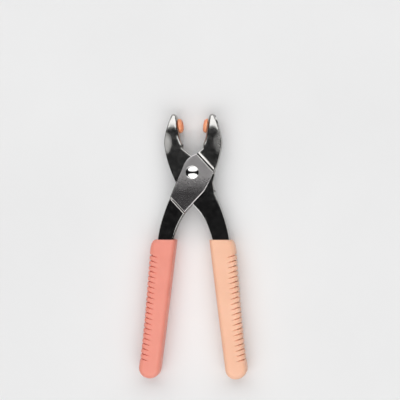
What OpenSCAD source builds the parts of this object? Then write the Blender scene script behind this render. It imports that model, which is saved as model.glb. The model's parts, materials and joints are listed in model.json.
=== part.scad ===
// Snap setter pliers: two nested sheet-steel channel levers on one rivet, moulded grips,
// and a push-in die insert in each jaw. Millimetres, +Z up, jaws towards +Y.
// The pliers lie flat with the jaws open. The origin is on the rivet's axis, at the
// back face it lies on. Outlines are drawn with the jaws closed, jaw to the right and
// handle to the left; each lever is then swung open by half_open.

/* [Levers] */
// Thickness of the pressed sheet
sheet_t = 1.8; // [1.6:0.1:1.9]
// Width of the channels, across the two cheeks
channel_w = 14; // [13.6:0.1:14.4]
// Swing of each lever from closed to open
half_open = 8; // [6:0.5:8]
// Gap between a cheek and the raised plate over it
plate_play = 0.15; // [0.1:0.05:0.3]

/* [Pivot] */
// Diameter of the rivet's shaft
rivet_d = 6; // [5:0.5:7]
// Diameter of the domed front head
head_d = 11.8; // [10:0.2:13]
// Height of the domed front head
head_h = 2; // [1.5:0.1:2.5]
// Radial play of what turns on the rivet
pivot_play = 0.05; // [0.03:0.01:0.08]

/* [Jaws] */
// From the centre line to a jaw's face when closed
jaw_face = 7; // [6.8:0.1:7.4]
// Height of the die socket above the pivot
seat_y = 43.5; // [43:0.1:44]
// Diameter of the die insert
insert_d = 13.2; // [12.6:0.1:13.4]
// How far the insert stands out of the jaw
insert_h = 3.5; // [3.2:0.1:3.8]
// Diameter of the pocket that holds a snap part
pocket_d = 8; // [7:0.1:9]

/* [Grips] */
// Thickness of a grip, front to back
grip_t = 20.4; // [20:0.1:21]
// Radius of a grip's long edges
grip_r = 4.5; // [3:0.5:5]
// Number of finger grooves in a grip
groove_count = 21; // [15:1:23]
// Distance between grooves
groove_pitch = 4.6; // [4.4:0.1:4.8]

/* [Hidden] */
$fn = 48;
eps = 0.5;

steel = [0.62, 0.62, 0.63];
bright_steel = [0.82, 0.82, 0.84];
coral = [0.95, 0.55, 0.47];
apricot = [0.98, 0.76, 0.60];
orange = [0.94, 0.52, 0.30];

mid_z = grip_t / 2;                         // the plane half way through the pliers
cheek_out = channel_w / 2;                  // cheek faces, from the middle plane
cheek_in = cheek_out - sheet_t;
plate_in = cheek_out + plate_play;          // raised plate faces of the front lever
plate_out = plate_in + sheet_t;

joggle_a = 51;                              // direction across the two joggles
upper_joggle = 15.6;                        // their low edges, from the pivot
lower_joggle = -30.8;
joggle_run = 1.8;                           // length of the slope between the levels

seat_x = jaw_face;                          // face that the insert sits on
socket_d = 9;                               // socket tube, outside
stem_d = 7.4;                               // insert's stem
flange_d = 10.2;
flange_t = 0.7;
pocket_deep = 2.4;
left_well_d = 3.2;                          // small well in the pocket's floor
right_well_d = 4.6;
ring_wire = 0.9;                            // snap ring in the stem's groove
ring_x = 5.9;                               // its distance behind the jaw's face

spring_wire = 1.4;
spring_r = 6.6;                             // mean radius of the coil
spring_turns = 3;
spring_pitch = 1.65;
leg_at = 156;                               // where the front leg leaves the coil
leg_len = 42;

// ---- curves -------------------------------------------------------------------------

// Points of a cubic curve from a to d, with the last one left out
function curve(a, b, c, d, n) =
    [for (i = [0 : n - 1])
        let (t = i / n, s = 1 - t)
        a * s * s * s + 3 * b * s * s * t + 3 * c * s * t * t + d * t * t * t];

// ---- lever outline, jaws closed -----------------------------------------------------

throat = [jaw_face, 22.8];            // where the web ends and the cheek steps back
hook = [jaw_face - 1.1, 26.4];              // lower lip of the jaw's face
nose = [13.2, 52.4];
jaw_back = [22, 27];
hip = [12.5, -15.6];
crotch = [-1.2, -35.2];
tang_in = [-9.8, -64];
end_y = -166;

jaw_points = concat(
    [throat],
    curve(hook, hook + [0.6, 2.6], [jaw_face, 31], [jaw_face, 35], 5),
    [[jaw_face, 35]],
    curve([jaw_face, 50.2], [jaw_face, 55.6], [11.9, 56.4], nose, 8),
    curve(nose, [16.2, 45.1], [22.1, 35.5], jaw_back, 10),
    curve(jaw_back, [22, 14], [18.5, -3], hip, 10),
    [hip]);

// Inner side of the handle, its round end, and its outer side up to the knee
function handle_points(outer_x, knee) = concat(
    curve(crotch, [-5, -41], [-9, -53], tang_in, 8),
    [tang_in],
    curve([-7.8, end_y], [-7.6, end_y - 13], [-20.4, end_y - 13], [-20.6, end_y], 8),
    [[-20.6, end_y]],
    curve([outer_x, -64], [outer_x - 0.3, -52], knee + [-3.7, -12.8], knee, 8));

front_knee = [-16.9, -24.4];
front_points = concat(
    jaw_points,
    handle_points(-23, front_knee),
    [front_knee],
    curve([-8.6, 4.5], [-7.4, 9.8], [-5.2, 13.4], [0.8, 16.6], 8));

// The rear lever's straight upper edge clears the upper joggle at every angle of the joint
rear_knee = [-17, -20];
rear_waist = [-15.8, -11.5];
rear_shoulder = [-19, -3.9];
rear_points = concat(jaw_points, handle_points(-24.6, rear_knee), [rear_knee, rear_waist, rear_shoulder]);

module front_outline() polygon(front_points);

module rear_outline() polygon(rear_points);

// ---- lever building blocks ----------------------------------------------------------

// A sheet on each side of the middle plane, from z0 to z1
module sheet_pair(z0, z1) {
    for (side = [0, 1])
        mirror([0, 0, side]) translate([0, 0, z0]) linear_extrude(z1 - z0) children();
}

// The jaw's web: a strip along its face and round its nose
module jaw_web() {
    translate([0, 0, -cheek_in - eps]) linear_extrude(2 * (cheek_in + eps)) difference() {
        intersection() {
            polygon(jaw_points);
            translate([0, hook[1]]) square([40, 40]);
        }
        translate([sheet_t, -sheet_t * 0.7]) polygon(jaw_points);
    }
}

// The handle's web: a strip along its outer side and round its end
module handle_web(points, top_y) {
    translate([0, 0, -cheek_in - eps]) linear_extrude(2 * (cheek_in + eps)) difference() {
        intersection() {
            polygon(points);
            translate([-50, -200]) square([50, 200 + top_y]);
        }
        translate([sheet_t, sheet_t]) polygon(points);
        translate([-11, top_y - 12]) square([20, 20]);
    }
}

module pivot_hole(r) translate([0, 0, -20]) cylinder(r = r, h = 40);

// Hole through the web for the die socket
module seat_hole() translate([seat_x - 2, seat_y, 0]) rotate([0, 90, 0])
    cylinder(d = socket_d, h = 2 + sheet_t + 0.2);

// Both of the front lever's cheeks as long strips across the joggles: low, raised, low
module joggled_sheets() {
    reach = 200;
    up = lower_joggle + joggle_run;
    down = upper_joggle - joggle_run;
    strip = [[-reach, cheek_in], [lower_joggle, cheek_in], [up, plate_in],
             [down, plate_in], [upper_joggle, cheek_in], [reach, cheek_in],
             [reach, cheek_out], [upper_joggle, cheek_out], [down, plate_out],
             [up, plate_out], [lower_joggle, cheek_out], [-reach, cheek_out]];
    for (side = [0, 1])
        mirror([0, 0, side]) rotate([0, 0, joggle_a]) translate([0, reach, 0])
            rotate([90, 0, 0]) linear_extrude(2 * reach) polygon(strip);
}

// Puts a closed front-lever shape in its open place
module front_place() translate([0, 0, mid_z]) rotate([0, 0, -half_open]) children();

// Mirrors a closed shape to the rear lever's side and puts it in its open place
module rear_place() translate([0, 0, mid_z]) rotate([0, 0, half_open])
    mirror([1, 0, 0]) children();

// ---- levers -------------------------------------------------------------------------

// Front lever: jaw on the right, left handle. Its raised plates straddle the rear lever.
module lever_front() {
    color(steel) front_place() difference() {
        union() {
            intersection() {
                translate([0, 0, -plate_out - 1]) linear_extrude(2 * plate_out + 2) front_outline();
                joggled_sheets();
            }
            jaw_web();
            handle_web(front_points, front_knee[1] - 3);
        }
        pivot_hole(rivet_d / 2);
        seat_hole();
    }
}

// Rear lever: jaw on the left, right handle. Its flat cheeks turn on the rivet.
module lever_rear() {
    color(steel) rear_place() difference() {
        union() {
            sheet_pair(cheek_in, cheek_out) rear_outline();
            jaw_web();
            handle_web(rear_points, rear_knee[1] - 1);
        }
        pivot_hole(rivet_d / 2 + pivot_play);
        seat_hole();
    }
}

// ---- pivot --------------------------------------------------------------------------

washer_t = 0.65;
tail_h = mid_z - plate_out - washer_t;      // flattened back head, flush with the grips

// Rivet with a domed front head, a straight shaft and a flattened back head
module pivot_rivet() {
    dome_r = (head_d * head_d / 4 + head_h * head_h) / (2 * head_h);
    color(bright_steel) union() {
        cylinder(d = 9.4, h = tail_h);
        cylinder(d = rivet_d, h = mid_z + plate_out + 0.4);
        translate([0, 0, mid_z + plate_out]) intersection() {
            cylinder(d = head_d, h = head_h);
            translate([0, 0, head_h - dome_r]) sphere(r = dome_r, $fn = 96);
        }
    }
}

module rivet_washer() {
    color(bright_steel) translate([0, 0, tail_h]) difference() {
        cylinder(d = 13, h = washer_t);
        translate([0, 0, -1]) cylinder(d = rivet_d, h = washer_t + 2);
    }
}

// Keeps the rear lever's cheeks apart and carries the spring
module spacer_sleeve() {
    sleeve_len = 2 * cheek_in - 0.1;
    color(bright_steel) translate([0, 0, mid_z - sleeve_len / 2]) difference() {
        cylinder(d = 9, h = sleeve_len);
        translate([0, 0, -1]) cylinder(r = rivet_d / 2 + pivot_play, h = sleeve_len + 2);
    }
}

// ---- return spring ------------------------------------------------------------------

// Centre line: a leg to the front lever's web, the coil, a leg to the rear lever's web
function spring_path() =
    let (
        sweep = 360 * spring_turns + 2 * leg_at - 180,
        rise = spring_pitch * sweep / 360,
        steps = 24 * spring_turns
    )
    concat(
        [for (s = [leg_len, leg_len / 2, 2]) coil_point(leg_at, -rise / 2, -s)],
        [for (i = [0 : steps]) coil_point(leg_at - sweep * i / steps, rise * (i / steps - 0.5), 0)],
        [for (s = [2, leg_len / 2, leg_len]) coil_point(leg_at - sweep, rise / 2, s)]);

// A point of the coil at angle a and height z, moved s along the tangent
function coil_point(a, z, s) =
    [spring_r * cos(a) + s * sin(a), spring_r * sin(a) - s * cos(a), z];

function unit(v) = v / norm(v);

// A closed tube of the given radius along a path of points
module tube(path, r, sides = 8) {
    last = len(path) - 1;
    rings = [for (i = [0 : last])
        let (
            along = unit(path[min(i + 1, last)] - path[max(i - 1, 0)]),
            flat = unit(cross(along, [0, 0, 1])),
            up = cross(flat, along)
        )
        [for (k = [0 : sides - 1]) let (a = 360 * k / sides)
            path[i] + r * (cos(a) * flat + sin(a) * up)]];
    points = [for (ring = rings) each ring];
    walls = [for (i = [0 : last - 1], k = [0 : sides - 1])
        let (j = (k + 1) % sides)
        each [[i * sides + k, i * sides + j, (i + 1) * sides + j],
              [i * sides + k, (i + 1) * sides + j, (i + 1) * sides + k]]];
    caps = [[for (k = [sides - 1 : -1 : 0]) k], [for (k = [0 : sides - 1]) last * sides + k]];
    polyhedron(points, concat(walls, caps));
}

module return_spring() {
    color(steel) translate([0, 0, mid_z]) tube(spring_path(), spring_wire / 2);
}

// ---- grips --------------------------------------------------------------------------

grip_top_in = [-6.6, -62.2];
grip_top_out = [-25.2, -64.8];

grip_points = concat(
    [grip_top_in],
    curve(grip_top_out, [-27.9, -65.4], [-28.8, -70], [-28.3, -77], 6),
    curve([-28.3, -77], [-27.2, -100], [-23.3, -150], [-23.8, -180], 10),
    curve([-23.8, -180], [-23.7, -193], [-4.5, -193], [-4.6, -180], 12),
    [[-4.6, -180], [-5.5, -116]]);

groove_top = [-28.6, -76];                    // outer end of the first groove
groove_lean = [3.9 / 93, -1];               // the outer edge's run, per unit of length
groove_w = 1.1;
groove_len = 8;
groove_deep = 1.5;

// One groove: a thin blade that bites the outer side and fades out on both faces
module groove(i) {
    at = groove_top + groove_lean * groove_pitch * i;
    half = grip_t / 2;
    bite = [[-3, -half - 1], [groove_len, -half - 0.01], [groove_deep + 2.2, 0.9 - half],
            [groove_deep, 4 - half], [groove_deep, half - 4], [groove_deep + 2.2, half - 0.9],
            [groove_len, half + 0.01], [-3, half + 1]];
    translate([at[0], at[1], 0]) rotate([0, 0, -8]) rotate([90, 0, 0])
        translate([0, 0, -groove_w / 2]) linear_extrude(groove_w) polygon(bite);
}

// A grip with rounded long edges, grooves on its outer side and a pocket for the handle
module grip(lever_points) {
    steps = 4;
    flat_h = grip_t / 2 - grip_r;
    difference() {
        union() {
            for (i = [0 : steps - 1]) {
                rise = grip_r * sin(90 * (i + 1) / steps);
                inset = grip_r * (1 - cos(90 * (i + 0.5) / steps));
                translate([0, 0, -flat_h - rise]) linear_extrude(2 * (flat_h + rise))
                    offset(delta = -inset) polygon(grip_points);
            }
        }
        for (i = [0 : groove_count - 1]) groove(i);
        translate([0, 0, -cheek_out]) linear_extrude(channel_w) polygon(lever_points);
    }
}

module left_grip() color(coral) front_place() grip(front_points);

module right_grip() color(apricot) rear_place() grip(rear_points);

// ---- die sockets and inserts --------------------------------------------------------

// Turns a profile of [distance behind the jaw's face, radius] about the socket's axis
module seat_turn() translate([seat_x, seat_y, 0]) rotate([0, 90, 0])
    rotate_extrude() rotate([0, 0, 90]) mirror([0, 1]) children();

// Steel socket pressed through the web, with a flange behind it
module socket() {
    bore = stem_d / 2 + 0.05;
    tube_r = socket_d / 2;
    seat_turn() difference() {
        polygon([[0, bore], [0, tube_r], [sheet_t, tube_r], [sheet_t, flange_d / 2],
                 [sheet_t + flange_t, flange_d / 2], [sheet_t + flange_t, tube_r],
                 [ring_x - ring_wire / 2, tube_r], [ring_x - ring_wire / 2, bore]]);
    }
}

// Spring-wire ring that snaps into the stem's groove behind the socket
module snap_ring() {
    translate([seat_x + ring_x, seat_y, 0]) rotate([0, 90, 0]) difference() {
        rotate_extrude() translate([stem_d / 2 + 0.1, 0]) circle(d = ring_wire, $fn = 24);
        translate([stem_d / 2, 0, 0]) cube([6, 1.8, 4], center = true);
    }
}

// Plastic insert: a disc on the jaw's face, a stem in the socket, a pocket for the snap
module insert(well_d) {
    rim = insert_d / 2;
    neck = stem_d / 2;
    front = -insert_h;
    floor_x = front + pocket_deep;
    seat_turn() polygon([
        [floor_x + 1.2, 0], [floor_x + 1.2, well_d / 2], [floor_x, well_d / 2],
        [floor_x, pocket_d / 2], [front, pocket_d / 2],
        [front, rim - 1.4], [front + 0.35, rim - 0.6], [front + 1.2, rim - 0.1], [front + 1.6, rim],
        [0, rim], [0, neck], [ring_x - 0.5, neck], [ring_x - 0.5, neck - 0.4],
        [ring_x + 0.5, neck - 0.4], [ring_x + 0.5, neck], [ring_x + 1.2, neck],
        [ring_x + 1.8, neck - 0.7], [ring_x + 1.8, 0]]);
}

module left_socket() color(bright_steel) rear_place() socket();

module right_socket() color(bright_steel) front_place() socket();

module left_snap_ring() color(bright_steel) rear_place() snap_ring();

module right_snap_ring() color(bright_steel) front_place() snap_ring();

module left_insert() color(orange) rear_place() insert(left_well_d);

module right_insert() color(orange) front_place() insert(right_well_d);

lever_front();
lever_rear();
pivot_rivet();
rivet_washer();
spacer_sleeve();
return_spring();
left_grip();
right_grip();
left_socket();
right_socket();
left_snap_ring();
right_snap_ring();
left_insert();
right_insert();
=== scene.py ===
"""Looks of the snap setter pliers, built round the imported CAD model.

Outlines are in millimetres, drawn with the jaws closed: jaw to the right, handle to the left,
the rivet at (0, 0). half_place() swings each half open and puts it in the row frame.
"""

import json
import math

import bpy
import numpy as np
from mathutils import Matrix, Vector
from mathutils.geometry import delaunay_2d_cdt


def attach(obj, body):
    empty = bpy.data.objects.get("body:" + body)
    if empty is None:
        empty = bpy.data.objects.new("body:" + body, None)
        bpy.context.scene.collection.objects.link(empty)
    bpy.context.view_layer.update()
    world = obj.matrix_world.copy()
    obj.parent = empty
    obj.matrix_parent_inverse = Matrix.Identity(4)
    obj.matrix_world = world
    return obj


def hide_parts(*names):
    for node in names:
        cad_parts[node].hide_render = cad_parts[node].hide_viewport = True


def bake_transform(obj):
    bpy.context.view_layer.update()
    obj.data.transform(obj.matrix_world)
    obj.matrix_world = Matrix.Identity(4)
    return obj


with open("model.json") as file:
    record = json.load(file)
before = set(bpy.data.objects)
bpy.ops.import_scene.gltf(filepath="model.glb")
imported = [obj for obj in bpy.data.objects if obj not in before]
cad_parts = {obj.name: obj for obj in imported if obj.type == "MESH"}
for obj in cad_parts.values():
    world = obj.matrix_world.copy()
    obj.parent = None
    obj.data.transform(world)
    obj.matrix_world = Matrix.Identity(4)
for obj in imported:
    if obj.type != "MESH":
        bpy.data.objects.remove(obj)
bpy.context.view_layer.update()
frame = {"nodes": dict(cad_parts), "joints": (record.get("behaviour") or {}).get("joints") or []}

MM = 0.001
SQUEEZE = frame["joints"][0]
HALF_OPEN = SQUEEZE["range_deg"][1] / 2
MID_Z = SQUEEZE["pos_m"][2] / MM

# ---- driving sizes ------------------------------------------------------------------------
# The plan and the layers are the CAD model's; ramps, bends and falls are only here.

SHEET = 1.8
CHEEK = 7.0  # outer face of a cheek, from the middle plane
RAISED = 1.95  # how far the front lever's plates stand above its cheeks
JOGGLE_ANGLE = 51
UPPER_JOGGLE = 15.6
LOWER_JOGGLE = -30.8
JOGGLE_RUN = 1.8
JOGGLE_LIP, JOGGLE_REACH = 0.9, 6  # how far a joggle's points lie before and past its start
UPPER_RAMP = 0.82, 1.3  # slope of each joggle's straight part, and its length
LOWER_RAMP = 1.2, 1.1
RIVET_R = 3.0
RIVET_PLAY = 0.05
WASHER = 0.65
JAW_FACE = 7.0  # x of the jaw's flat face
SEAT_Y = 43.5  # where the die insert sits on it
GRIP_HALF = 10.2  # half a grip's thickness
GRIP_R = 4.5
BEND = 2.4  # outer radius of the 90 degree bends
FACE_BEND = 3.5  # the same, beside the jaw's face
HOOK_BEND = 2.0  # at the jaw's hook
TANG_BEND = 1.3  # along the handles
ROLL = 0.45  # width of the rounding that blanking leaves on a cut edge
ROLL_FOLD = 40  # and its angle, in degrees

NOSE_KNEE = 38  # above this the cheek leans down to the nose
NOSE_EASE = 10  # length over which it takes up its slope
NOSE_SLOPE = 0.105
BELLY_DROP = 0.3  # how far the cheek falls at its lower back
BELLY_WIDTH = 9

THROAT = (JAW_FACE, 22.8)
HOOK = (JAW_FACE - 1.1, 26.4)
NOSE = (13.2, 52.4)
JAW_BACK = (22, 27)
HIP = (12.5, -15.6)
CROTCH = (-1.2, -35.2)
TANG_IN = (-9.8, -64)
END_Y = -166  # the handle ends inside the grip
APEX = (0.8, 16.6)  # top corner of the raised plate


# ---- outlines -----------------------------------------------------------------------------


def curve(a, b, c, d, count=48):
    """Points of a cubic curve from a to d."""
    t = np.linspace(0, 1, count + 1)[:, None]
    s = 1 - t
    a, b, c, d = (np.array(p, float) for p in (a, b, c, d))
    return a * s**3 + 3 * b * s * s * t + 3 * c * s * t * t + d * t**3


def straight(*points):
    """The given points as an array."""
    return np.array(points, float)


# the jaw's back, down to the joggle
BACK_UPPER = curve(NOSE, (16.2, 45.1), (22.1, 35.5), JAW_BACK)
BACK_LOWER = curve(JAW_BACK, (22, 14), (18.5, -3), HIP)
JAW_SPINE = np.concatenate([BACK_UPPER, BACK_LOWER[1:]])


class Run:
    """A stretch of an outline, with the fold of its edge in degrees and the fold's width."""

    def __init__(self, points, fold, width=None, wall=False):
        self.points = points
        self.fold = fold
        self.width = width or tuple(ROLL if f <= ROLL_FOLD else BEND for f in fold)
        self.wall = wall

    def sampled(self, spacing):
        """Rows of x, y, fold, width and wall, without the last point."""
        steps = np.linalg.norm(np.diff(self.points, axis=0), axis=1)
        along = np.concatenate([[0], np.cumsum(steps)])
        stations = [0.0]
        while stations[-1] < along[-1]:
            x, y = (np.interp(stations[-1], along, self.points[:, k]) for k in (0, 1))
            stations.append(stations[-1] + spacing(x, y))
        if len(stations) < 3:
            stations = [0.0, along[-1]]
        s = np.array(stations) * along[-1] / stations[-1]
        share = s / along[-1]
        columns = [np.interp(s, along, self.points[:, k]) for k in (0, 1)]
        columns += [pair[0] + share * (pair[1] - pair[0]) for pair in (self.fold, self.width)]
        columns.append(np.full(len(s), float(self.wall)))
        return np.stack(columns, 1)[:-1]


def jaw_runs():
    """The jaw's edge from the throat, up its face, round the nose and down its back."""
    nose = curve((JAW_FACE, 50.2), (JAW_FACE, 55.6), (11.9, 56.4), NOSE)
    top, side = 30, 9  # points where the web ends and where the bend has opened out
    return [
        Run(straight(THROAT, HOOK), (ROLL_FOLD, 88), (ROLL, HOOK_BEND)),
        Run(
            curve(HOOK, (HOOK[0] + 0.6, HOOK[1] + 2.6), (JAW_FACE, 31), (JAW_FACE, 35)),
            (90, 90),
            (HOOK_BEND, FACE_BEND),
            wall=True,
        ),
        Run(
            straight((JAW_FACE, 35), (JAW_FACE, 50.2)),
            (90, 90),
            (FACE_BEND, FACE_BEND),
            wall=True,
        ),
        Run(nose[: top + 1], (90, 90), (FACE_BEND, BEND), wall=True),
        Run(nose[top:], (90, 90), (BEND, BEND)),
        Run(BACK_UPPER[: side + 1], (90, 60), (BEND, 1.0)),
        Run(BACK_UPPER[side:], (60, 50), (1.0, 0.9)),
        Run(BACK_LOWER, (50, ROLL_FOLD), (0.9, ROLL)),
    ]


def handle_runs(outer_x, knee):
    """The handle's edge from the crotch, round its end and up its outer side to the knee."""
    end_in, end_out = (-7.8, END_Y), (-20.6, END_Y)
    shoulder = (knee[0] - 3.7, knee[1] - 12.8)
    tang = (TANG_BEND, TANG_BEND)
    return [
        Run(curve(CROTCH, (-5, -41), (-9, -53), TANG_IN), (ROLL_FOLD, ROLL_FOLD)),
        Run(straight(TANG_IN, end_in), (ROLL_FOLD, ROLL_FOLD)),
        Run(
            curve(end_in, (-7.6, END_Y - 13), (-20.4, END_Y - 13), end_out),
            (ROLL_FOLD, 90),
            (ROLL, TANG_BEND),
        ),
        Run(straight(end_out, (outer_x, -64)), (90, 90), tang, wall=True),
        Run(curve((outer_x, -64), (outer_x - 0.3, -52), shoulder, knee), (90, 90), tang, wall=True),
    ]


def front_runs():
    """The front lever's whole edge, clockwise from the throat."""
    knee = (-16.9, -24.4)
    plate_low = (-8.6, 4.5)
    return [
        *jaw_runs(),
        Run(straight(HIP, CROTCH), (ROLL_FOLD, ROLL_FOLD)),
        *handle_runs(-23, knee),
        Run(straight(knee, plate_low), (60, ROLL_FOLD), (TANG_BEND, ROLL)),
        Run(curve(plate_low, (-7.4, 9.8), (-5.2, 13.4), APEX), (ROLL_FOLD, ROLL_FOLD)),
        Run(straight(APEX, THROAT), (ROLL_FOLD, ROLL_FOLD)),
    ]


def rear_runs():
    """The rear lever's whole edge; between jaw and handle it follows the flat waist."""
    knee = (-17, -20)
    waist = (-15.8, -11.5)
    shoulder = (-19, -3.9)
    return [
        *jaw_runs(),
        Run(straight(HIP, CROTCH), (ROLL_FOLD, ROLL_FOLD)),
        *handle_runs(-24.6, knee),
        Run(straight(knee, waist), (60, ROLL_FOLD), (TANG_BEND, ROLL)),
        Run(straight(waist, shoulder), (ROLL_FOLD, ROLL_FOLD)),
        Run(straight(shoulder, THROAT), (ROLL_FOLD, ROLL_FOLD)),
    ]


# ---- folded sheets ------------------------------------------------------------------------


def joggle_distance(p):
    """Distance from the rivet's axis, square to the joggles."""
    a = math.radians(JOGGLE_ANGLE)
    return p[:, 0] * math.cos(a) + p[:, 1] * math.sin(a)


def smooth(t):
    """0 to 1 with flat ends."""
    t = np.clip(t, 0, 1)
    return t * t * (3 - 2 * t)


def joggle_fall(x, slope, ramp, ease=0.5):
    """Drop at distance x past the plate's edge: rounded, then a straight ramp, then a run-out.

    The run-out dies away exponentially, and the whole drop comes to RAISED.
    """
    tail = (RAISED - slope * (ease / 2 + ramp)) / slope
    into = np.clip(x, 0, ease)
    along = np.clip(x - ease, 0, ramp)
    past = np.clip(x - ease - ramp, 0, None)
    return slope * (into**2 / (2 * ease) + along + tail * (1 - np.exp(-past / tail)))


def raise_of(p):
    """Height of the front lever's plates over its cheeks: 0, up one joggle, down the other."""
    u = joggle_distance(p)
    upper = joggle_fall(u - (UPPER_JOGGLE - JOGGLE_RUN), *UPPER_RAMP)
    lower = joggle_fall(LOWER_JOGGLE + JOGGLE_RUN - u, *LOWER_RAMP)
    return RAISED - upper - lower


def distance(p, line):
    """Distance from each point to an open line of points."""
    gap = np.full(len(p), 1e9)
    for a, b in zip(line[:-1], line[1:]):
        ab = b - a
        ap = p - a
        t = np.clip(ap @ ab / (ab @ ab), 0, 1)
        gap = np.minimum(gap, np.linalg.norm(ap - t[:, None] * ab, axis=1))
    return gap


def jaw_crown(p):
    """How far a jaw's cheek falls away from its flat middle, to the nose and the lower back."""
    y = p[:, 1]
    t = np.clip((y - NOSE_KNEE) / NOSE_EASE, 0, 1)
    nose = NOSE_EASE * (t**3 - t**4 / 2) + np.clip(y - NOSE_KNEE - NOSE_EASE, 0, None)
    nose *= NOSE_SLOPE
    from_back = distance(p, JAW_SPINE)
    belly = BELLY_DROP * smooth(1 - from_back / BELLY_WIDTH) * (1 - smooth((y - 20) / 13))
    return nose + belly * smooth((y + 12) / 12)


def near_edge(p, edge):
    """For each point: distance to the edge, and the fold and width there."""
    a = edge[:, :2]
    b = np.roll(a, -1, axis=0)
    ab = b - a
    out = []
    for block in np.array_split(p, max(1, len(p) // 1500)):  # keeps the tables small
        ap = block[:, None] - a[None]
        t = np.clip((ap * ab).sum(2) / (ab * ab).sum(1), 0, 1)
        gap = np.linalg.norm(ap - t[..., None] * ab, axis=2)
        k = gap.argmin(1)
        rows = np.arange(len(block))
        share = t[rows, k][:, None]
        after = (k + 1) % len(edge)
        values = edge[k, 2:4] * (1 - share) + edge[after, 2:4] * share
        out.append(np.column_stack([gap[rows, k], values]))
    return np.concatenate(out)


def fold_drop(d, fold, width):
    """How far a folded edge has dropped at distance d from its outline."""
    fold = np.radians(np.clip(fold, 1, 90))
    radius = width / np.sin(fold)
    phi = np.arcsin(np.clip((width - d) / radius, 0, 1))
    return radius * (1 - np.cos(phi))


def inside(p, polygon):
    """Which points are inside the polygon."""
    a = polygon
    b = np.roll(polygon, -1, axis=0)
    x, y = p[:, :1], p[:, 1:2]
    crosses = (a[:, 1] > y) != (b[:, 1] > y)
    rise = np.where(b[:, 1] == a[:, 1], 1e-9, b[:, 1] - a[:, 1])
    left = x < (b[:, 0] - a[:, 0]) * (y - a[:, 1]) / rise + a[:, 0]
    return (crosses & left).sum(1) % 2 == 1


def outline(runs, spacing, rounding=3):
    """The closed outline, anticlockwise, with its corners eased."""
    edge = np.concatenate([run.sampled(spacing) for run in runs])
    wall = edge[:, 4].copy()
    edge = edge[::-1].copy()
    edge[:, 4] = np.roll(wall[::-1], -1)  # a wall runs from its point to the next one
    for _ in range(rounding):
        around = (np.roll(edge[:, :2], 1, axis=0) + np.roll(edge[:, :2], -1, axis=0)) / 2
        edge[:, :2] = (edge[:, :2] + around) / 2
    return edge


def inward(edge):
    """Unit normals of the outline, pointing in."""
    tangent = np.roll(edge[:, :2], -1, axis=0) - np.roll(edge[:, :2], 1, axis=0)
    tangent /= np.linalg.norm(tangent, axis=1)[:, None]
    return np.column_stack([-tangent[:, 1], tangent[:, 0]])


def fold_rows(edge, rings=6):
    """Points that follow the edge's fold inwards, so that the fold is round."""
    direction = inward(edge)
    found = []
    for k in range(1, rings + 1):
        fold = np.radians(edge[:, 2])
        phi = fold * (1 - k / rings)
        depth = edge[:, 3] * (1 - np.sin(phi) / np.sin(fold))
        p = edge[:, :2] + direction * depth[:, None]
        near = near_edge(p, edge)
        keep = (near[:, 0] > 0.96 * depth) & (depth > 0.05)  # no closer to another stretch
        keep &= (edge[:, 3] > 1.2) | (k % 3 == 0)  # narrow folds need fewer rows
        found.append(p[keep])
    return np.concatenate(found)


def lattice(edge, rows):
    """Evenly spread points inside the outline; rows gives (low y, high y, spacing)."""
    found = []
    for low, high, step in rows:
        for n, y in enumerate(np.arange(low + step / 2, high, step * 0.87)):
            x = np.arange(edge[:, 0].min(), edge[:, 0].max(), step) + (n % 2) * step / 2
            p = np.column_stack([x, np.full(len(x), y)])
            near = near_edge(p, edge)
            keep = inside(p, edge[:, :2]) & (near[:, 0] > near[:, 2] + 0.45 * step)
            found.append(p[keep])
    return np.concatenate(found)


def on_joggle(p):
    """Which points are on a joggle or its run-out."""
    u = joggle_distance(p)
    lower = LOWER_JOGGLE + JOGGLE_RUN
    upper = UPPER_JOGGLE - JOGGLE_RUN
    at_lower = (u > lower - JOGGLE_REACH) & (u < lower + JOGGLE_LIP)
    at_upper = (u > upper - JOGGLE_LIP) & (u < upper + JOGGLE_REACH)
    return at_lower | at_upper


def joggle_rows(edge):
    """Points along both joggles, close enough together to round them."""
    a = math.radians(JOGGLE_ANGLE)
    across = np.array([math.cos(a), math.sin(a)])
    along = np.array([-math.sin(a), math.cos(a)])
    # from just before a joggle's start to the end of its run-out, densest where it bends
    steps = [-0.3, 0, 0.17, 0.34, 0.5, 0.9, 1.3, 1.6, 1.85, 2.15, 2.5, 3.0, 3.6, 4.3, 5.2]
    v = np.arange(-40, 40, 0.7)
    found = []
    for start, way in ((LOWER_JOGGLE + JOGGLE_RUN, -1), (UPPER_JOGGLE - JOGGLE_RUN, 1)):
        for u in start + way * np.array(steps):
            p = across * u + along * v[:, None]
            near = near_edge(p, edge)
            found.append(p[inside(p, edge[:, :2]) & (near[:, 0] > near[:, 2] + 0.2)])
    return np.concatenate(found)


def circle_points(radius, count=48):
    """Points round a circle at the origin."""
    a = np.linspace(0, 2 * math.pi, count, endpoint=False)
    return np.column_stack([np.cos(a), np.sin(a)]) * radius


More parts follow.
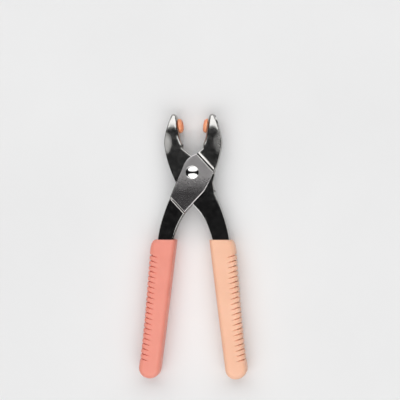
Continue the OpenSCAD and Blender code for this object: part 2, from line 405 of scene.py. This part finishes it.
def triangulate(edge, points, hole=0.0):
    """Triangles inside the outline and outside a round hole; the outline's points come first."""
    loop = [Vector(p) for p in edge[:, :2]]
    n = len(loop)
    edges = [(i, (i + 1) % n) for i in range(n)]
    if hole:
        points = points[np.linalg.norm(points, axis=1) > hole + 0.5]
        ring = circle_points(hole)
        edges += [(n + i, n + (i + 1) % len(ring)) for i in range(len(ring))]
        points = np.concatenate([ring, points])
    made = delaunay_2d_cdt(loop + [Vector(p) for p in points], edges, [], 1, 1e-5, False)
    flat = np.array([tuple(v) for v in made[0]])
    faces = [tuple(f) for f in made[2]]
    corners = flat[np.array(faces)]
    centres = corners.mean(1)
    kept = inside(centres, edge[:, :2]) & (np.linalg.norm(centres, axis=1) > hole)
    sides = np.roll(corners, -1, axis=1) - corners
    twice_area = np.abs(sides[:, 0, 0] * sides[:, 1, 1] - sides[:, 0, 1] * sides[:, 1, 0])
    on_outline = (np.array(faces) < n).all(1)
    sliver = twice_area < 0.002 * (sides**2).sum(2).max(1)
    kept &= ~(on_outline & sliver)  # these lie along straight stretches
    return flat, [f for f, keep in zip(faces, kept) if keep]


def shell(edge, flat, faces, height, wall_rows):
    """The outer skin: the height field above and below the middle plane, and the walls."""
    count = len(flat)
    n = len(edge)
    verts = [(x, y, z) for (x, y), z in zip(flat, height)]
    verts += [(x, y, -z) for (x, y), z in zip(flat, height)]
    skin = list(faces) + [tuple(v + count for v in reversed(f)) for f in faces]
    columns = {}
    for i in range(n):
        if edge[i, 4] or edge[i - 1, 4]:
            x, y = flat[i]
            levels = np.linspace(height[i], -height[i], wall_rows + 1)[1:-1]
            columns[i] = [i, *range(len(verts), len(verts) + len(levels)), i + count]
            verts += [(x, y, z) for z in levels]
    for i in range(n):
        if edge[i, 4]:
            here, there = columns[i], columns[(i + 1) % n]
            for k in range(wall_rows):
                skin.append((there[k], here[k], here[k + 1], there[k + 1]))
    return verts, skin


def half_place(half):
    """Matrix from a closed outline's millimetres to the row frame, for the front or rear half."""
    place = Matrix.Diagonal((MM, MM, MM, 1)) @ Matrix.Translation((0, 0, MID_Z))
    if half == "front":
        return place @ Matrix.Rotation(math.radians(-HALF_OPEN), 4, "Z")
    mirrored = Matrix.Diagonal((-1, 1, 1, 1))
    return place @ Matrix.Rotation(math.radians(HALF_OPEN), 4, "Z") @ mirrored


def add_mesh(name, verts, faces, matrix, materials, sharp=35):
    """A mesh object in the row frame."""
    mesh = bpy.data.meshes.new(name)
    mesh.from_pydata([tuple(v) for v in verts], [], [tuple(f) for f in faces])
    mesh.transform(matrix)
    if matrix.determinant() < 0:
        mesh.flip_normals()
    obj = bpy.data.objects.new(name, mesh)
    bpy.context.scene.collection.objects.link(obj)
    for material in materials:
        mesh.materials.append(material)
    finish_mesh(obj, sharp)
    return obj


def finish_mesh(obj, sharp=35):
    """Cleans the mesh and shades it smooth, except across edges sharper than the angle."""
    obj.data.validate()
    obj.data.shade_smooth()
    obj.data.set_sharp_from_angle(angle=math.radians(sharp))


def thicken(obj, thickness):
    """Gives a skin the sheet's thickness, inwards, and keeps the result as the mesh."""
    solid = obj.modifiers.new("sheet", "SOLIDIFY")
    solid.thickness = thickness
    solid.offset = -1
    solid.use_quality_normals = True
    graph = bpy.context.evaluated_depsgraph_get()
    mesh = bpy.data.meshes.new_from_object(obj.evaluated_get(graph))
    obj.modifiers.clear()
    obj.data = mesh
    finish_mesh(obj)


GRIPPED_Y = -68  # below this the handle is inside its grip and needs few points
GRIPPED_STEP = 4.0
CHEEK_STEP = 1.3
EDGE_STEP = 0.6
JOGGLE_STEP = 0.3


def lever(name, half, runs, raised, materials):
    """A pressed channel lever: two cheeks, with webs where the edge folds all the way over."""

    def spacing(x, y):
        """Distance to the outline's next point."""
        if y < GRIPPED_Y:
            return GRIPPED_STEP
        if raised and on_joggle(np.array([[x, y]]))[0]:
            return JOGGLE_STEP
        return EDGE_STEP

    edge = outline(runs, spacing)
    points = [fold_rows(edge)]
    grid = lattice(edge, [(-180, GRIPPED_Y, GRIPPED_STEP), (GRIPPED_Y, 58, CHEEK_STEP)])
    if raised:
        grid = grid[~on_joggle(grid)]
        points.append(joggle_rows(edge))
    points.append(grid)
    flat, faces = triangulate(edge, np.concatenate(points), RIVET_R + RIVET_PLAY)
    near = near_edge(flat, edge)
    near[: len(edge), 0] = 0
    near[: len(edge), 1:] = edge[:, 2:4]
    height = CHEEK - jaw_crown(flat) - fold_drop(*near.T)
    if raised:
        height += raise_of(flat)
    verts, skin = shell(edge, flat, faces, height, wall_rows=6)
    obj = add_mesh(name, verts, skin, half_place(half), materials)
    if raised:
        obj.data.polygons.foreach_set("material_index", on_plate(verts, skin))
    thicken(obj, SHEET * MM)
    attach(obj, f"{half}_half")
    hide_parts(f"lever_{half}")


def on_plate(verts, faces):
    """1 for the faces of the raised plates, 0 for the rest; the walls are the faces of four."""
    centres = np.array([np.mean([verts[v][:2] for v in f], axis=0) for f in faces])
    u = joggle_distance(centres)
    plate = (u > LOWER_JOGGLE + JOGGLE_RUN) & (u < UPPER_JOGGLE - JOGGLE_RUN)
    plate &= np.array([len(f) == 3 for f in faces])
    return plate.astype(np.int32)


# ---- grips --------------------------------------------------------------------------------

TOP_IN = (-6.6, -62.2)  # ends of the straight top
TOP_OUT = (-25.2, -64.8)
KNUCKLE = (-28.3, -77)  # the outer side's widest point
BASE_OUT = (-23.8, -180)  # the rounded end starts and stops here
BASE_IN = (-4.6, -180)
TOP_R = 0.9
GRIP_STEP = 1.2  # spacing of the outline's points away from the grooves
GRIP_LATTICE = 2.4

# the grooves lie a little lower than the CAD model's
GROOVES = 21
GROOVE_PITCH = 4.675
GROOVE_TOP = np.array([-28.5, -79.1])  # outer end of the first
GROOVE_RUN = np.array([3.9 / 93, -1])  # the way from one to the next
GROOVE_TURN = math.radians(-8)
GROOVE_DIR = np.array([math.cos(GROOVE_TURN), math.sin(GROOVE_TURN)])
GROOVE_CROSS = np.array([GROOVE_DIR[1], -GROOVE_DIR[0]])
GROOVE_STEP = GROOVE_PITCH * float(GROOVE_RUN @ GROOVE_CROSS)
GROOVE_LEN = 8.5
GROOVE_DEEP = 2.5
SLIT_END, SLIT_GAIN = 0.26, 0.32  # half a slit's width at its inner end, and what it gains
PILLOW_DEEP, PILLOW_HALF = 0.3, 1.1  # the soft hollow that each slit lies in
SLIT_MARKS = (-0.95, -0.6, -0.36, -0.16, 0, 0.16, 0.36, 0.6, 0.95)


def groove_stations(low, high):
    """Distances along the grip at which its outer side gets points: dense in each groove."""
    marks = [low, high]
    for i in range(GROOVES):
        marks += [i * GROOVE_STEP + mark for mark in SLIT_MARKS]
    marks = sorted(m for m in marks if low <= m <= high)
    filled = []
    for a, b in zip(marks, marks[1:]):
        filled += list(np.linspace(a, b, max(1, round(b - a)) + 1)[:-1])
    return np.array(filled + [marks[-1]])


def grip_depth(p, e):
    """How deep the grooves are at plan points p, at distance e from the outer side."""
    c = (p - GROOVE_TOP) @ GROOVE_CROSS
    i = np.clip(np.round(c / GROOVE_STEP), 0, GROOVES - 1)
    t = np.abs(c - i * GROOVE_STEP)
    fade = np.clip(1 - (e / GROOVE_LEN) ** 1.5, 0, 1)
    slit = np.clip(1 - t / (SLIT_END + SLIT_GAIN * fade), 0, 1) * GROOVE_DEEP * fade
    pillow = np.exp(-((t / PILLOW_HALF) ** 2)) * PILLOW_DEEP * fade
    return slit + pillow


def grip_side():
    """Points down the grip's outer side."""
    shoulder = curve(TOP_OUT, (-27.9, -65.4), (-28.8, -70), KNUCKLE)
    length = curve(KNUCKLE, (-27.2, -100), (-23.3, -150), BASE_OUT)
    outer = np.concatenate([shoulder, length[1:]])
    c = (outer - GROOVE_TOP) @ GROOVE_CROSS
    stations = groove_stations(c[0] + 0.02, c[-1])
    return np.column_stack([np.interp(stations, c, outer[:, k]) for k in (0, 1)])


def grip_sides(side):
    """The grip's outline but for its straight top: outer side, rounded end and inner side."""
    waist = (-5.5, -116)
    rest = [
        Run(curve(BASE_OUT, (-23.7, -193), (-4.5, -193), BASE_IN), (90, 90)),
        Run(straight(BASE_IN, waist), (90, 90)),
        Run(straight(waist, TOP_IN), (90, 90)),
    ]
    around = [run.sampled(lambda x, y: GRIP_STEP)[:, :2] for run in rest]
    return np.concatenate([side[:-1], *around, [TOP_IN]])


def grip_points(edge, side):
    """Points inside the outline: rows round its edge, rows along the grooves and a lattice."""
    is_side = np.arange(len(edge)) < len(side) - 1
    direction = np.where(is_side[:, None], GROOVE_DIR, inward(edge))
    round_rows = [GRIP_R * (1 - math.cos(math.radians(a))) for a in range(10, 91, 10)]
    groove_rows = [5.4, 6.3, 7.2, 8.1, 9.0]
    points = []
    for depth in round_rows + groove_rows:
        p = edge[:, :2] + direction * depth
        keep = is_side | (depth <= GRIP_R)
        keep &= inside(p, edge[:, :2])
        keep &= near_edge(p, edge)[:, 0] > 0.9 * min(depth, GRIP_R)
        points.append(p[keep])
    grid = lattice(edge, [(-195, -62, GRIP_LATTICE)])
    points.append(grid[from_points(grid, side) > groove_rows[-1] + 1])
    return np.concatenate(points)


def from_points(p, others):
    """Distance from each point to the nearest of the others."""
    return np.min(np.linalg.norm(p[:, None] - others[None], axis=2), axis=1)


def rounded(d, radius):
    """How far a rounded edge has dropped at distance d from it."""
    return fold_drop(d, np.full(len(d), 90.0), np.full(len(d), radius))


def from_top(p):
    """Distance from the straight top."""
    run = np.array(TOP_OUT) - np.array(TOP_IN)
    run /= np.linalg.norm(run)
    normal = np.array([-run[1], run[0]])
    return np.abs(p @ normal - np.array(TOP_IN) @ normal)


def grip(name, half, material, cad_node):
    """A moulded grip: rounded all round, cut straight at the top, with fine finger grooves."""
    side = grip_side()
    sides = grip_sides(side)
    loop = np.concatenate([sides, np.linspace(TOP_IN, TOP_OUT, 16)[1:-1]])
    edge = np.column_stack([loop, np.tile([90, GRIP_R, 1], (len(loop), 1))])
    flat, faces = triangulate(edge, grip_points(edge, side))
    height = GRIP_HALF - rounded(distance(flat, sides), GRIP_R)
    height -= rounded(from_top(flat), TOP_R)
    verts, skin = shell(edge, flat, faces, height, wall_rows=14)
    plan = np.array(verts)[:, :2]
    verts = carve(name, verts, skin, grip_depth(plan, from_points(plan, side)))
    obj = add_mesh(name, verts, skin, half_place(half), [material], sharp=70)
    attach(obj, f"{half}_half")
    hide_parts(cad_node)


def carve(name, verts, faces, depth):
    """Moves each point inwards along its normal by its depth."""
    mesh = bpy.data.meshes.new(name + "_uncut")
    mesh.from_pydata([tuple(v) for v in verts], [], [tuple(f) for f in faces])
    normals = np.zeros(len(verts) * 3, np.float32)
    mesh.vertex_normals.foreach_get("vector", normals)
    bpy.data.meshes.remove(mesh)
    return np.array(verts) - normals.reshape(-1, 3) * depth[:, None]


# ---- turned pieces ------------------------------------------------------------------------


def lathe(name, profile, matrix, materials, segments=96, sharp=35):
    """A closed turned solid; the profile runs from the axis to the axis as (along, radius)."""
    verts, faces = [], []
    rings = []
    for along, radius in profile:
        if radius < 1e-6:
            rings.append([len(verts)])
            verts.append((0, 0, along))
            continue
        rings.append(list(range(len(verts), len(verts) + segments)))
        for k in range(segments):
            a = 2 * math.pi * k / segments
            verts.append((radius * math.cos(a), radius * math.sin(a), along))
    for low, high in zip(rings, rings[1:]):
        for k in range(segments):
            j = (k + 1) % segments
            if len(low) == 1:
                faces.append((low[0], high[j], high[k]))
            elif len(high) == 1:
                faces.append((low[k], low[j], high[0]))
            else:
                faces.append((low[k], low[j], high[j], high[k]))
    return add_mesh(name, verts, faces, matrix, materials, sharp)


def rivet(material):
    """Domed front head, shaft and flattened back head, from the back up."""
    base = MID_Z + CHEEK + RAISED
    head_r, head_h, back_r = 5.9, 2.0, 4.7
    dome_r = (head_r**2 + head_h**2) / (2 * head_h)
    tilt = math.degrees(math.asin(head_r / dome_r))
    dome = []
    for degrees in np.linspace(tilt, 0, 24):
        a = math.radians(degrees)
        dome.append((base + head_h - dome_r + dome_r * math.cos(a), dome_r * math.sin(a)))
    back = MID_Z - CHEEK - RAISED - WASHER
    profile = [(0, 0), (0, back_r - 0.4), (0.08, back_r - 0.1), (back - 0.1, back_r)]
    profile += [(back, back_r - 0.1), (back, RIVET_R)]
    profile += [(base, RIVET_R), (base, head_r - 0.15), (base + 0.12, head_r)]
    profile += dome[1:]
    obj = lathe("rivet", profile, Matrix.Diagonal((MM, MM, MM, 1)), [material])
    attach(obj, "front_half")
    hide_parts("pivot_rivet")


def seat_matrix(half):
    """Axis of a die socket: from the jaw's face straight into the jaw."""
    seat = Matrix.Translation((JAW_FACE, SEAT_Y, 0)) @ Matrix.Rotation(math.radians(90), 4, "Y")
    return half_place(half) @ seat


def die_insert(name, half, well_r, material, cad_node):
    """Plastic disc on the jaw's face with a pocket for a snap part, and a stem behind it."""
    rim, neck, front, pocket_r = 6.6, 3.7, -3.5, 4.0
    floor = front + 2.4
    well = floor + 1.2
    dome_long, dome_deep = 2.9, 2.3  # the rounding from the disc's face to its rim
    ring, ring_half, ring_deep = 5.9, 0.5, 0.4  # the groove for the snap ring
    profile = [(well, 0), (well, well_r), (floor, well_r), (floor, pocket_r)]
    profile += [(front + 0.2, pocket_r), (front, pocket_r + 0.2)]
    for degrees in range(0, 91, 10):
        a = math.radians(degrees)
        along = front + dome_long * (1 - math.cos(a))
        profile.append((along, rim - dome_deep * (1 - math.sin(a))))
    profile += [(-0.15, rim), (0, rim - 0.15), (0, neck), (ring - ring_half, neck)]
    profile += [(ring - ring_half, neck - ring_deep), (ring + ring_half, neck - ring_deep)]
    profile += [(ring + ring_half, neck), (ring + 1.2, neck)]
    profile += [(ring + 1.8, neck - 0.7), (ring + 1.8, 0)]
    obj = lathe(name, profile, seat_matrix(half), [material], sharp=30)
    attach(obj, f"{half}_half")
    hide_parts(cad_node)


def die_socket(name, half, material, cad_node):
    """Steel tube through the web with a flange behind it."""
    bore, tube, flange, flange_t, back = 3.75, 4.5, 5.1, 0.7, 5.45
    profile = [(0.1, bore), (0, bore + 0.1), (0, tube), (SHEET, tube), (SHEET, flange - 0.1)]
    profile += [(SHEET + 0.1, flange), (SHEET + flange_t - 0.1, flange)]
    profile += [(SHEET + flange_t, flange - 0.1), (SHEET + flange_t, tube), (back - 0.1, tube)]
    profile += [(back, tube - 0.1), (back, bore), (0.1, bore)]
    obj = lathe(name, profile, seat_matrix(half), [material])
    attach(obj, f"{half}_half")
    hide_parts(cad_node)


# ---- wire ---------------------------------------------------------------------------------


def tube(name, path, radius, matrix, materials, sides=12):
    """A round wire with domed ends along a path of points."""
    path = np.array(path, float)
    verts, faces = [], []
    rings = []
    last = len(path) - 1
    caps = [(-0.8, 0.35), (-0.45, 0.8)]  # shift and size of the end's rings, in wire radii
    for i in range(last + 1):
        along = path[min(i + 1, last)] - path[max(i - 1, 0)]
        along /= np.linalg.norm(along)
        flat = np.cross(along, (0, 0, 1))
        flat /= np.linalg.norm(flat)
        up = np.cross(flat, along)
        steps = [(0, 1)]
        if i == 0:
            steps = [*caps, (0, 1)]
        if i == last:
            steps = [(0, 1), *[(-a, r) for a, r in reversed(caps)]]
        for shift, scale in steps:
            centre = path[i] + along * shift * radius
            rings.append(len(verts))
            for k in range(sides):
                a = 2 * math.pi * k / sides
                verts.append(centre + radius * scale * (math.cos(a) * flat + math.sin(a) * up))
    for low, high in zip(rings, rings[1:]):
        for k in range(sides):
            j = (k + 1) % sides
            faces.append((low + k, high + k, high + j, low + j))
    faces.append(tuple(rings[0] + k for k in range(sides)))
    faces.append(tuple(rings[-1] + k for k in reversed(range(sides))))
    return add_mesh(name, verts, faces, matrix, materials, sharp=60)


SPRING_R = 6.6
SPRING_WIRE = 1.4
SPRING_TURNS = 3
SPRING_PITCH = 1.65
COIL_STEPS = 48 * SPRING_TURNS
LEG_AT = 156  # where a leg leaves the coil, in degrees
LEG_LEN = 42
LEG_MARKS = (2, 6, LEG_LEN / 2, LEG_LEN)


def coil_point(a, z, s):
    """A point of the coil at angle a and height z, moved s along the tangent."""
    c, n = math.cos(math.radians(a)), math.sin(math.radians(a))
    return (SPRING_R * c + s * n, SPRING_R * n - s * c, z)


def spring(material):
    """Torsion spring: the coil on the pivot and a leg along each handle."""
    sweep = 360 * SPRING_TURNS + 2 * LEG_AT - 180
    rise = SPRING_PITCH * sweep / 360
    path = [coil_point(LEG_AT, -rise / 2, -s) for s in reversed(LEG_MARKS)]
    for i in range(COIL_STEPS + 1):
        share = i / COIL_STEPS
        path.append(coil_point(LEG_AT - sweep * share, rise * (share - 0.5), 0))
    path += [coil_point(LEG_AT - sweep, rise / 2, s) for s in LEG_MARKS]
    place = Matrix.Diagonal((MM, MM, MM, 1)) @ Matrix.Translation((0, 0, MID_Z))
    obj = tube("spring", path, SPRING_WIRE / 2, place, [material])
    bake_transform(obj)
    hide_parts("return_spring")


# ---- materials ----------------------------------------------------------------------------


class Nodes:
    """A material's node tree, with short calls for the nodes used here."""

    def __init__(self, name):
        self.material = bpy.data.materials.new(name)
        self.material.use_nodes = True
        self.tree = self.material.node_tree
        self.shader = self.tree.nodes["Principled BSDF"]
        self.place = self.add("ShaderNodeTexCoord").outputs["Object"]

    def add(self, kind, **settings):
        """A new node with its settings."""
        node = self.tree.nodes.new(kind)
        for key, value in settings.items():
            setattr(node, key, value)
        return node

    def link(self, output, socket):
        """Joins an output to a socket."""
        self.tree.links.new(output, socket)

    def noise(self, scale, detail=3.0, stretch=(1, 1, 1), turn=0.0):
        """Noise over the object's own space, stretched and turned about Z."""
        mapping = self.add("ShaderNodeMapping")
        mapping.inputs["Scale"].default_value = stretch
        mapping.inputs["Rotation"].default_value = (0, 0, math.radians(turn))
        self.link(self.place, mapping.inputs["Vector"])
        texture = self.add("ShaderNodeTexNoise")
        texture.inputs["Scale"].default_value = scale
        texture.inputs["Detail"].default_value = detail
        self.link(mapping.outputs["Vector"], texture.inputs["Vector"])
        return texture.outputs["Fac"]

    def spread(self, value, low, high, from_low=0.3, from_high=0.7):
        """The value's usual range mapped to low..high."""
        node = self.add("ShaderNodeMapRange")
        node.inputs["From Min"].default_value = from_low
        node.inputs["From Max"].default_value = from_high
        node.inputs["To Min"].default_value = low
        node.inputs["To Max"].default_value = high
        self.link(value, node.inputs["Value"])
        return node.outputs["Result"]

    def tint(self, value, low, high):
        """A colour between low and high, by the value."""
        ramp = self.add("ShaderNodeValToRGB")
        ramp.color_ramp.elements[0].position = 0.3
        ramp.color_ramp.elements[1].position = 0.7
        ramp.color_ramp.elements[0].color = (*low, 1)
        ramp.color_ramp.elements[1].color = (*high, 1)
        self.link(value, ramp.inputs["Fac"])
        return ramp.outputs["Color"]

    def bump(self, value, distance, after=None):
        """Surface waves of the given height in metres, on top of an earlier normal if any."""
        node = self.add("ShaderNodeBump")
        node.inputs["Strength"].default_value = 1.0
        node.inputs["Distance"].default_value = distance
        self.link(value, node.inputs["Height"])
        if after:
            self.link(after, node.inputs["Normal"])
        return node.outputs["Normal"]

    def set(self, **values):
        """Uniform values on the shader's own sockets."""
        for key, value in values.items():
            self.shader.inputs[key.replace("_", " ")].default_value = value

    def position(self, axis):
        """The object's own x, y or z, in metres."""
        split = self.add("ShaderNodeSeparateXYZ")
        self.link(self.place, split.inputs["Vector"])
        return split.outputs[axis]

    def math(self, operation, *values):
        """The result of a sum on numbers and outputs."""
        node = self.add("ShaderNodeMath", operation=operation)
        for socket, value in zip(node.inputs, values):
            if isinstance(value, (int, float)):
                socket.default_value = value
            else:
                self.link(value, socket)
        return node.outputs["Value"]

    def wire(self, **outputs):
        """Outputs to the shader's sockets."""
        for key, output in outputs.items():
            self.link(output, self.shader.inputs[key.replace("_", " ")])


SATIN_X, SATIN_Y = 0.0242, 0.0265  # middle of the satin spot on each jaw, in metres
SATIN_HALF_X, SATIN_HALF_Y = 0.0048, 0.009
SATIN_FADE = 1.7  # square of the distance, in half widths, at which it has faded out


def satin_spots(m):
    """Extra roughness at each jaw's outer side, more of it on the left jaw."""
    off_x = m.math("SUBTRACT", m.math("ABSOLUTE", m.position("X")), SATIN_X)
    off_y = m.math("SUBTRACT", m.position("Y"), SATIN_Y)
    away_x = m.math("POWER", m.math("DIVIDE", off_x, SATIN_HALF_X), 2)
    away_y = m.math("POWER", m.math("DIVIDE", off_y, SATIN_HALF_Y), 2)
    shape = m.spread(m.math("ADD", away_x, away_y), 1, 0, 0, SATIN_FADE)
    return m.math("MULTIPLY", shape, m.spread(m.position("X"), 0.36, 0.13, -0.02, 0.02))


def polished_plating():
    """Nickel over pressed steel: smoothest along the handles, with faint waves and scratches."""
    m = Nodes("polished_plating")
    m.set(Metallic=1.0)
    cloud = m.noise(90, 4)
    m.wire(Base_Color=m.tint(cloud, (0.43, 0.425, 0.41), (0.54, 0.53, 0.515)))
    wear = m.spread(m.noise(260, 5), -0.03, 0.03)
    polish = m.math("ADD", wear, m.spread(m.position("Y"), 0.10, 0.15, -0.03, 0))
    m.wire(Roughness=m.math("ADD", polish, satin_spots(m)))
    waves = m.bump(m.noise(70, 2), 0.00010)
    scratches = m.bump(m.noise(300, 4, (1, 14, 1), 20), 0.000003, after=waves)
    m.wire(Normal=scratches)
    return m.material


def brushed_plating():
    """The raised plates: the same plating with a fine satin grain, smoother below the rivet."""
    m = Nodes("brushed_plating")
    m.set(Metallic=1.0)
    cloud = m.noise(120, 4)
    m.wire(Base_Color=m.tint(cloud, (0.52, 0.50, 0.50), (0.62, 0.60, 0.60)))
    grain = m.spread(m.noise(420, 5, (1, 5, 1), 12), -0.03, 0.03)
    worn = m.spread(m.position("Y"), 0.18, 0.30, -0.019, -0.003)
    m.wire(Roughness=m.math("ADD", grain, worn))
    m.wire(Normal=m.bump(m.noise(700, 4, (1, 16, 1), 12), 0.000003))
    return m.material


def bright_plating():
    """Bright nickel on the rivet, washer, sleeve and sockets."""
    m = Nodes("bright_plating")
    m.set(Metallic=1.0)
    m.wire(Base_Color=m.tint(m.noise(200, 3), (0.70, 0.69, 0.68), (0.78, 0.77, 0.76)))
    m.wire(Roughness=m.spread(m.noise(600, 4), 0.08, 0.15))
    m.wire(Normal=m.bump(m.noise(900, 3), 0.000002))
    return m.material


def spring_wire():
    """Drawn wire: greyer and rougher than the plating."""
    m = Nodes("spring_wire")
    m.set(Metallic=1.0)
    m.wire(Base_Color=m.tint(m.noise(500, 3), (0.42, 0.42, 0.44), (0.55, 0.55, 0.57)))
    m.wire(Roughness=m.spread(m.noise(900, 4, (1, 1, 4)), 0.22, 0.38))
    m.wire(Normal=m.bump(m.noise(1500, 3), 0.000004))
    return m.material


def grip_plastic(name, low, high):
    """Soft moulded plastic: satin, very slightly mottled, with a fine moulded grain."""
    m = Nodes(name)
    m.set(Metallic=0.0, Subsurface_Weight=0.06, Subsurface_Scale=0.002)
    m.wire(Base_Color=m.tint(m.noise(45, 4), low, high))
    m.wire(Roughness=m.spread(m.noise(300, 4), 0.42, 0.54))
    m.wire(Normal=m.bump(m.noise(2200, 3), 0.00002))
    return m.material


def insert_plastic():
    """Hard glossy plastic, a little translucent."""
    m = Nodes("insert_plastic")
    m.set(Metallic=0.0, Subsurface_Weight=0.25, Subsurface_Scale=0.002, Coat_Weight=0.3)
    m.wire(Base_Color=m.tint(m.noise(220, 3), (0.84, 0.29, 0.13), (0.90, 0.36, 0.18)))
    m.wire(Roughness=m.spread(m.noise(500, 3), 0.24, 0.34))
    m.wire(Normal=m.bump(m.noise(1200, 3), 0.000006))
    return m.material


def floor_paper():
    """Matt white."""
    m = Nodes("floor_paper")
    m.wire(Base_Color=m.tint(m.noise(6, 3), (0.80, 0.80, 0.80), (0.83, 0.83, 0.83)))
    m.wire(Roughness=m.spread(m.noise(20, 3), 0.7, 0.8))
    return m.material


# ---- stage --------------------------------------------------------------------------------


def floor():
    """A wide sheet under the pliers."""
    mesh = bpy.data.meshes.new("floor")
    half = 3.0
    corners = [(-half, -half, 0), (half, -half, 0), (half, half, 0), (-half, half, 0)]
    mesh.from_pydata(corners, [], [(0, 1, 2, 3)])
    mesh.materials.append(floor_paper())
    obj = bpy.data.objects.new("floor", mesh)
    bpy.context.scene.collection.objects.link(obj)


def soft_box(name, azimuth, tilt, distance, size, power):
    """An oval soft box, tilt degrees from straight above towards the azimuth."""
    light = bpy.data.lights.new(name, "AREA")
    light.shape = "ELLIPSE"
    light.size, light.size_y = size
    light.energy = power
    obj = bpy.data.objects.new(name, light)
    a, t = math.radians(azimuth), math.radians(tilt)
    way = Vector((math.cos(a) * math.sin(t), math.sin(a) * math.sin(t), math.cos(t)))
    obj.location = way * distance
    obj.rotation_mode = "QUATERNION"
    obj.rotation_quaternion = way.to_track_quat("Z", "Y")
    bpy.context.scene.collection.objects.link(obj)


def sky():
    """Dark overhead, pale towards the horizon."""
    world = bpy.data.worlds.new("studio")
    world.use_nodes = True
    tree = world.node_tree
    place = tree.nodes.new("ShaderNodeTexCoord")
    split = tree.nodes.new("ShaderNodeSeparateXYZ")
    ramp = tree.nodes.new("ShaderNodeValToRGB")
    stops = [(0.06, (0.85, 0.85, 0.86, 1)), (0.17, (0.012, 0.012, 0.013, 1))]
    for element, (height, colour) in zip(ramp.color_ramp.elements, stops):
        element.position = height
        element.color = colour
    tree.links.new(place.outputs["Generated"], split.inputs["Vector"])
    tree.links.new(split.outputs["Z"], ramp.inputs["Fac"])
    tree.links.new(ramp.outputs["Color"], tree.nodes["Background"].inputs["Color"])
    bpy.context.scene.world = world


def camera():
    """Looks straight down on the pliers' front, from a little to their right."""
    target = Vector((6.84, -24.84, 17.0)) * MM
    distance, view_width, lean = 1.5, 0.36, 6.5
    data = bpy.data.cameras.new("camera")
    data.sensor_width = 36
    data.lens = data.sensor_width * distance / view_width
    obj = bpy.data.objects.new("camera", data)
    turn = math.radians(lean)
    obj.location = target + Vector((math.sin(turn), 0, math.cos(turn))) * distance
    obj.rotation_euler = (0, turn, 0)
    bpy.context.scene.collection.objects.link(obj)
    bpy.context.scene.camera = obj
    bpy.context.scene.view_settings.view_transform = "Standard"


# ---- the pliers ---------------------------------------------------------------------------

camera()
sky()
floor()
soft_box("north_box", 90, 38, 1.5, (3.2, 1.5), 23)
soft_box("south_box", -90, 38, 1.5, (3.2, 1.5), 23)

polished = polished_plating()
brushed = brushed_plating()
bright = bright_plating()
wire = spring_wire()

lever("front_lever", "front", front_runs(), raised=True, materials=[polished, brushed])
lever("rear_lever", "rear", rear_runs(), raised=False, materials=[polished])
coral = grip_plastic("coral_plastic", (0.83, 0.285, 0.215), (0.88, 0.315, 0.24))
apricot = grip_plastic("apricot_plastic", (0.89, 0.50, 0.335), (0.94, 0.545, 0.375))
grip("coral_grip", "front", coral, "left_grip")
grip("apricot_grip", "rear", apricot, "right_grip")
rivet(bright)
spring(wire)
insert = insert_plastic()
die_insert("right_die", "front", well_r=2.3, material=insert, cad_node="right_insert")
die_insert("left_die", "rear", well_r=1.6, material=insert, cad_node="left_insert")
die_socket("right_die_socket", "front", bright, "right_socket")
die_socket("left_die_socket", "rear", bright, "left_socket")
for node, material in {
    "rivet_washer": bright,
    "spacer_sleeve": bright,
    "left_snap_ring": wire,
    "right_snap_ring": wire,
}.items():
    mesh = frame["nodes"][node].data
    mesh.materials.clear()
    mesh.materials.append(material)
